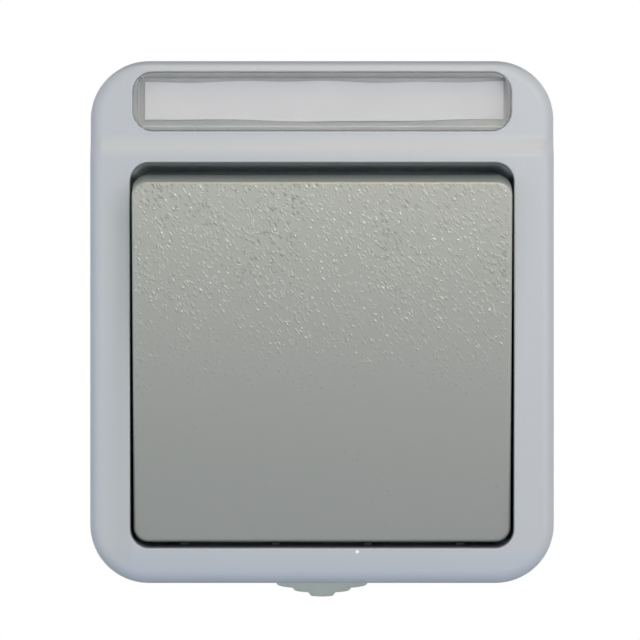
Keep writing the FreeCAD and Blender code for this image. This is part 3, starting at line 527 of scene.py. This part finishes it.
for vert in sheet.verts:
    along = vert.co.x / paper_width
    upper = vert.co.z / paper_height + 0.5
    top_wave = 0.55 * math.sin(9.0 * along + 2.6) + 0.45 * math.sin(25.0 * along + 1.2)
    low_wave = 0.70 * math.sin(7.0 * along + 4.4) + 0.30 * math.sin(19.0 * along)
    bow = 0.5 + 0.5 * math.sin(11.0 * along + 2.0 * upper)
    vert.co.z += PAPER_MARGIN * (upper * top_wave + (1.0 - upper) * low_wave)
    vert.co.y -= PAPER_BOW * bow
bmesh.update_edit_mesh(paper_sheet.data)
bpy.ops.mesh.select_all(action="SELECT")
bpy.ops.transform.translate(value=paper_middle)
bpy.ops.object.mode_set(mode="OBJECT")
thickness = paper_sheet.modifiers.new("thickness", "SOLIDIFY")
thickness.thickness = PAPER_THICKNESS
thickness.offset = 0.0
bpy.ops.object.modifier_apply(modifier=thickness.name)
bpy.ops.object.shade_smooth_by_angle(angle=SHARP_ANGLE)


def label_paper_material():
    """Matt paper with faint fibres and cloudy tone."""
    material, tree, coordinates, surface = new_material("label_paper")
    fibres = place(tree, "ShaderNodeTexNoise", Vector=coordinates, Scale=2800.0, Detail=5.0)
    clouds = place(tree, "ShaderNodeTexNoise", Vector=coordinates, Scale=150.0, Detail=2.0)
    colour = blend(tree, clouds.outputs["Fac"], PAPER_SHADE, PAPER_WHITE)
    tree.links.new(
        bumped_surface(tree, fibres.outputs["Fac"], FIBRE_DEPTH, Base_Color=colour, Roughness=0.85),
        surface,
    )
    return material


label_paper = label_paper_material()
paper_sheet.data.materials.append(label_paper)
dress("label_strip", label_paper)
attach(paper_sheet, "housing")
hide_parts("label_strip")


# Label window
# A clear moulded cap with a rim all round that stands on the pocket's floor and frames the paper.
# It is pushed into the pocket by hand, and the rim has gone cloudy where dust and fingers reach it.
CAP_CLEAR = (0.90, 0.905, 0.915, 1.0)
CAP_SHADOW = (0.92, 0.925, 0.93, 1.0)  # what the cap lets through to the paper
RIM_DULL = (0.86, 0.88, 0.90, 1.0)
RIM_BRIGHT = (0.98, 0.98, 0.97, 1.0)
RIM_WIDTH = 0.00076
RIPPLE_DEPTH = 0.00002


def clear_plastic_material():
    """Clear polished plastic that lets lamps through to the paper, cloudy along its rim."""
    material, tree, coordinates, surface = new_material("clear_plastic")
    on_rim = ramp(
        tree, outside_of(tree, coordinates, "label_window"), -RIM_WIDTH - MASK_EDGE,
        -RIM_WIDTH + MASK_EDGE,
    )
    clouds = place(tree, "ShaderNodeTexNoise", Vector=coordinates, Scale=240.0, Detail=3.0)
    rim_colour = blend(tree, ramp(tree, clouds.outputs["Fac"], 0.35, 0.65), RIM_DULL, RIM_BRIGHT)
    ripple = place(tree, "ShaderNodeTexNoise", Vector=coordinates, Scale=180.0, Detail=1.0)
    plastic = bumped_surface(
        tree, ripple.outputs["Fac"], RIPPLE_DEPTH, IOR=1.05, Transmission_Weight=0.74, Coat_Weight=0.5,
        Base_Color=blend(tree, on_rim, CAP_CLEAR, rim_colour),
        Roughness=ramp(tree, on_rim, 0.0, 1.0, 0.04, 0.30),
        Alpha=ramp(tree, on_rim, 0.0, 1.0, 0.22, 1.0),
    )
    passing = place(tree, "ShaderNodeBsdfTransparent", Color=CAP_SHADOW)
    path = place(tree, "ShaderNodeLightPath")
    mixed = place(
        tree, "ShaderNodeMixShader", in0=path.outputs["Is Shadow Ray"], in1=plastic,
        in2=passing.outputs[0],
    )
    tree.links.new(mixed.outputs[0], surface)
    return material


dress("label_window", clear_plastic_material())


# Floor
# A pale floor a hand's breadth below the switch, which is made to hang on a wall. Away from the
# object it runs out into the white of the room.
FLOOR_LEVEL = -0.075
FLOOR_SIZE = 8.0
FADE_START, FADE_END = 0.06, 0.16  # from the switch's origin
FLOOR_SHADE = (0.86, 0.86, 0.86, 1.0)
FLOOR_PALE = (0.90, 0.90, 0.90, 1.0)
PURE_WHITE = (1.0, 1.0, 1.0, 1.0)


def seen_share(tree):
    """1 for rays from the camera, straight or by way of a shiny or clear surface, else 0."""
    path = place(tree, "ShaderNodeLightPath").outputs
    share = path["Is Camera Ray"]
    for ray in ("Is Glossy Ray", "Is Transmission Ray"):
        share = place(
            tree, "ShaderNodeMath", {"operation": "ADD", "use_clamp": True}, in0=share, in1=path[ray]
        ).outputs[0]
    return share


def floor_material():
    """Matt pale paper that turns pure white away from the object."""
    material, tree, coordinates, surface = new_material("floor_paper")
    near = place(tree, "ShaderNodeVectorMath", {"operation": "LENGTH"}, in0=coordinates)
    fade = ramp(tree, near.outputs["Value"], FADE_START, FADE_END)
    specks = place(tree, "ShaderNodeTexNoise", Vector=coordinates, Scale=40.0, Detail=3.0)
    paper = blend(tree, specks.outputs["Fac"], FLOOR_SHADE, FLOOR_PALE)
    matt = place(tree, "ShaderNodeBsdfPrincipled", Base_Color=paper, Roughness=0.9)
    white = place(tree, "ShaderNodeEmission", Color=PURE_WHITE, Strength=1.0)
    mixed = place(
        tree, "ShaderNodeMixShader", in0=product(tree, seen_share(tree), fade), in1=matt.outputs[0],
        in2=white.outputs[0],
    )
    tree.links.new(mixed.outputs[0], surface)
    return material


bpy.ops.mesh.primitive_plane_add(size=FLOOR_SIZE, location=(0.0, 0.0, FLOOR_LEVEL))
floor = bpy.context.object
floor.name = "floor"
bpy.ops.object.transform_apply(location=True, rotation=True, scale=True)
floor.data.materials.append(floor_material())


# Room light
# White walls all round, under a darker ceiling. They light the switch a little cool, and are seen
# as plain white.
WALL_GLOW = (0.60, 0.685, 0.805, 1.0)
CEILING_GLOW = (0.12, 0.13, 0.15, 1.0)
CEILING_START, CEILING_FULL = 0.15, 0.85  # how steeply up, where the ceiling starts and is full
room = bpy.data.worlds.new("room")
bpy.context.scene.world = room
room.use_nodes = True
tree = room.node_tree
tree.nodes.clear()
direction = place(tree, "ShaderNodeTexCoord").outputs["Generated"]
rise = place(tree, "ShaderNodeSeparateXYZ", Vector=direction).outputs["Z"]
glow = blend(tree, ramp(tree, rise, CEILING_START, CEILING_FULL), WALL_GLOW, CEILING_GLOW)
walls = place(tree, "ShaderNodeBackground", Color=glow, Strength=1.0)
backdrop = place(tree, "ShaderNodeBackground", Color=PURE_WHITE, Strength=1.0)
mixed = place(
    tree, "ShaderNodeMixShader", in0=seen_share(tree), in1=walls.outputs[0], in2=backdrop.outputs[0]
)
place(tree, "ShaderNodeOutputWorld", Surface=mixed.outputs[0])


# Lamps
# A key lamp in front at the right, a small lamp above the camera that finds the rocker's grain, a
# warm strip overhead that lights the step under the label, and a low cool fill at the left.
front_middle = Vector((0.0, cad_box[0].y, 0.0))


def soft_box(name, location, size, power, colour):
    """A flat lamp of a width and a length that faces the middle of the switch's front."""
    bpy.ops.object.light_add(type="AREA", location=location)
    lamp = bpy.context.object
    lamp.name = name
    lamp.data.shape = "RECTANGLE"
    lamp.data.size, lamp.data.size_y = size
    lamp.data.energy = power
    lamp.data.color = colour
    lamp.rotation_euler = (front_middle - lamp.location).to_track_quat("-Z", "Y").to_euler()


soft_box("key_lamp", (0.34, -0.50, 0.02), (0.45, 0.45), 0.98, (1.0, 0.965, 0.955))
soft_box("front_lamp", (0.12, -0.60, 0.18), (0.06, 0.06), 0.62, (1.0, 0.96, 0.88))
soft_box("overhead_strip", (0.03, -0.40, 0.49), (0.20, 0.34), 1.08, (1.0, 0.80, 0.48))
soft_box("low_fill", (-0.36, -0.36, -0.06), (0.30, 0.12), 0.32, (0.64, 0.86, 1.0))


# Camera
# Square to the front at arm's length, as for a catalogue picture, with a long lens that keeps the
# switch's sides out of sight.
VIEW_DEPTH = 0.450
VIEW_CENTRE_X, VIEW_CENTRE_Z = -0.00032, 0.00028
FOCAL_PIXELS = 2540.0
IMAGE_PIXELS = 640.0
SENSOR_WIDTH = 36.0
bpy.ops.object.camera_add(location=(VIEW_CENTRE_X, -VIEW_DEPTH, VIEW_CENTRE_Z))
camera = bpy.context.object
camera.name = "front_camera"
camera.rotation_euler = (math.pi / 2, 0.0, 0.0)
camera.data.sensor_width = SENSOR_WIDTH
camera.data.lens = SENSOR_WIDTH * FOCAL_PIXELS / IMAGE_PIXELS
camera.data.clip_start = 0.01
bpy.context.scene.camera = camera
bpy.context.scene.view_settings.view_transform = "Standard"
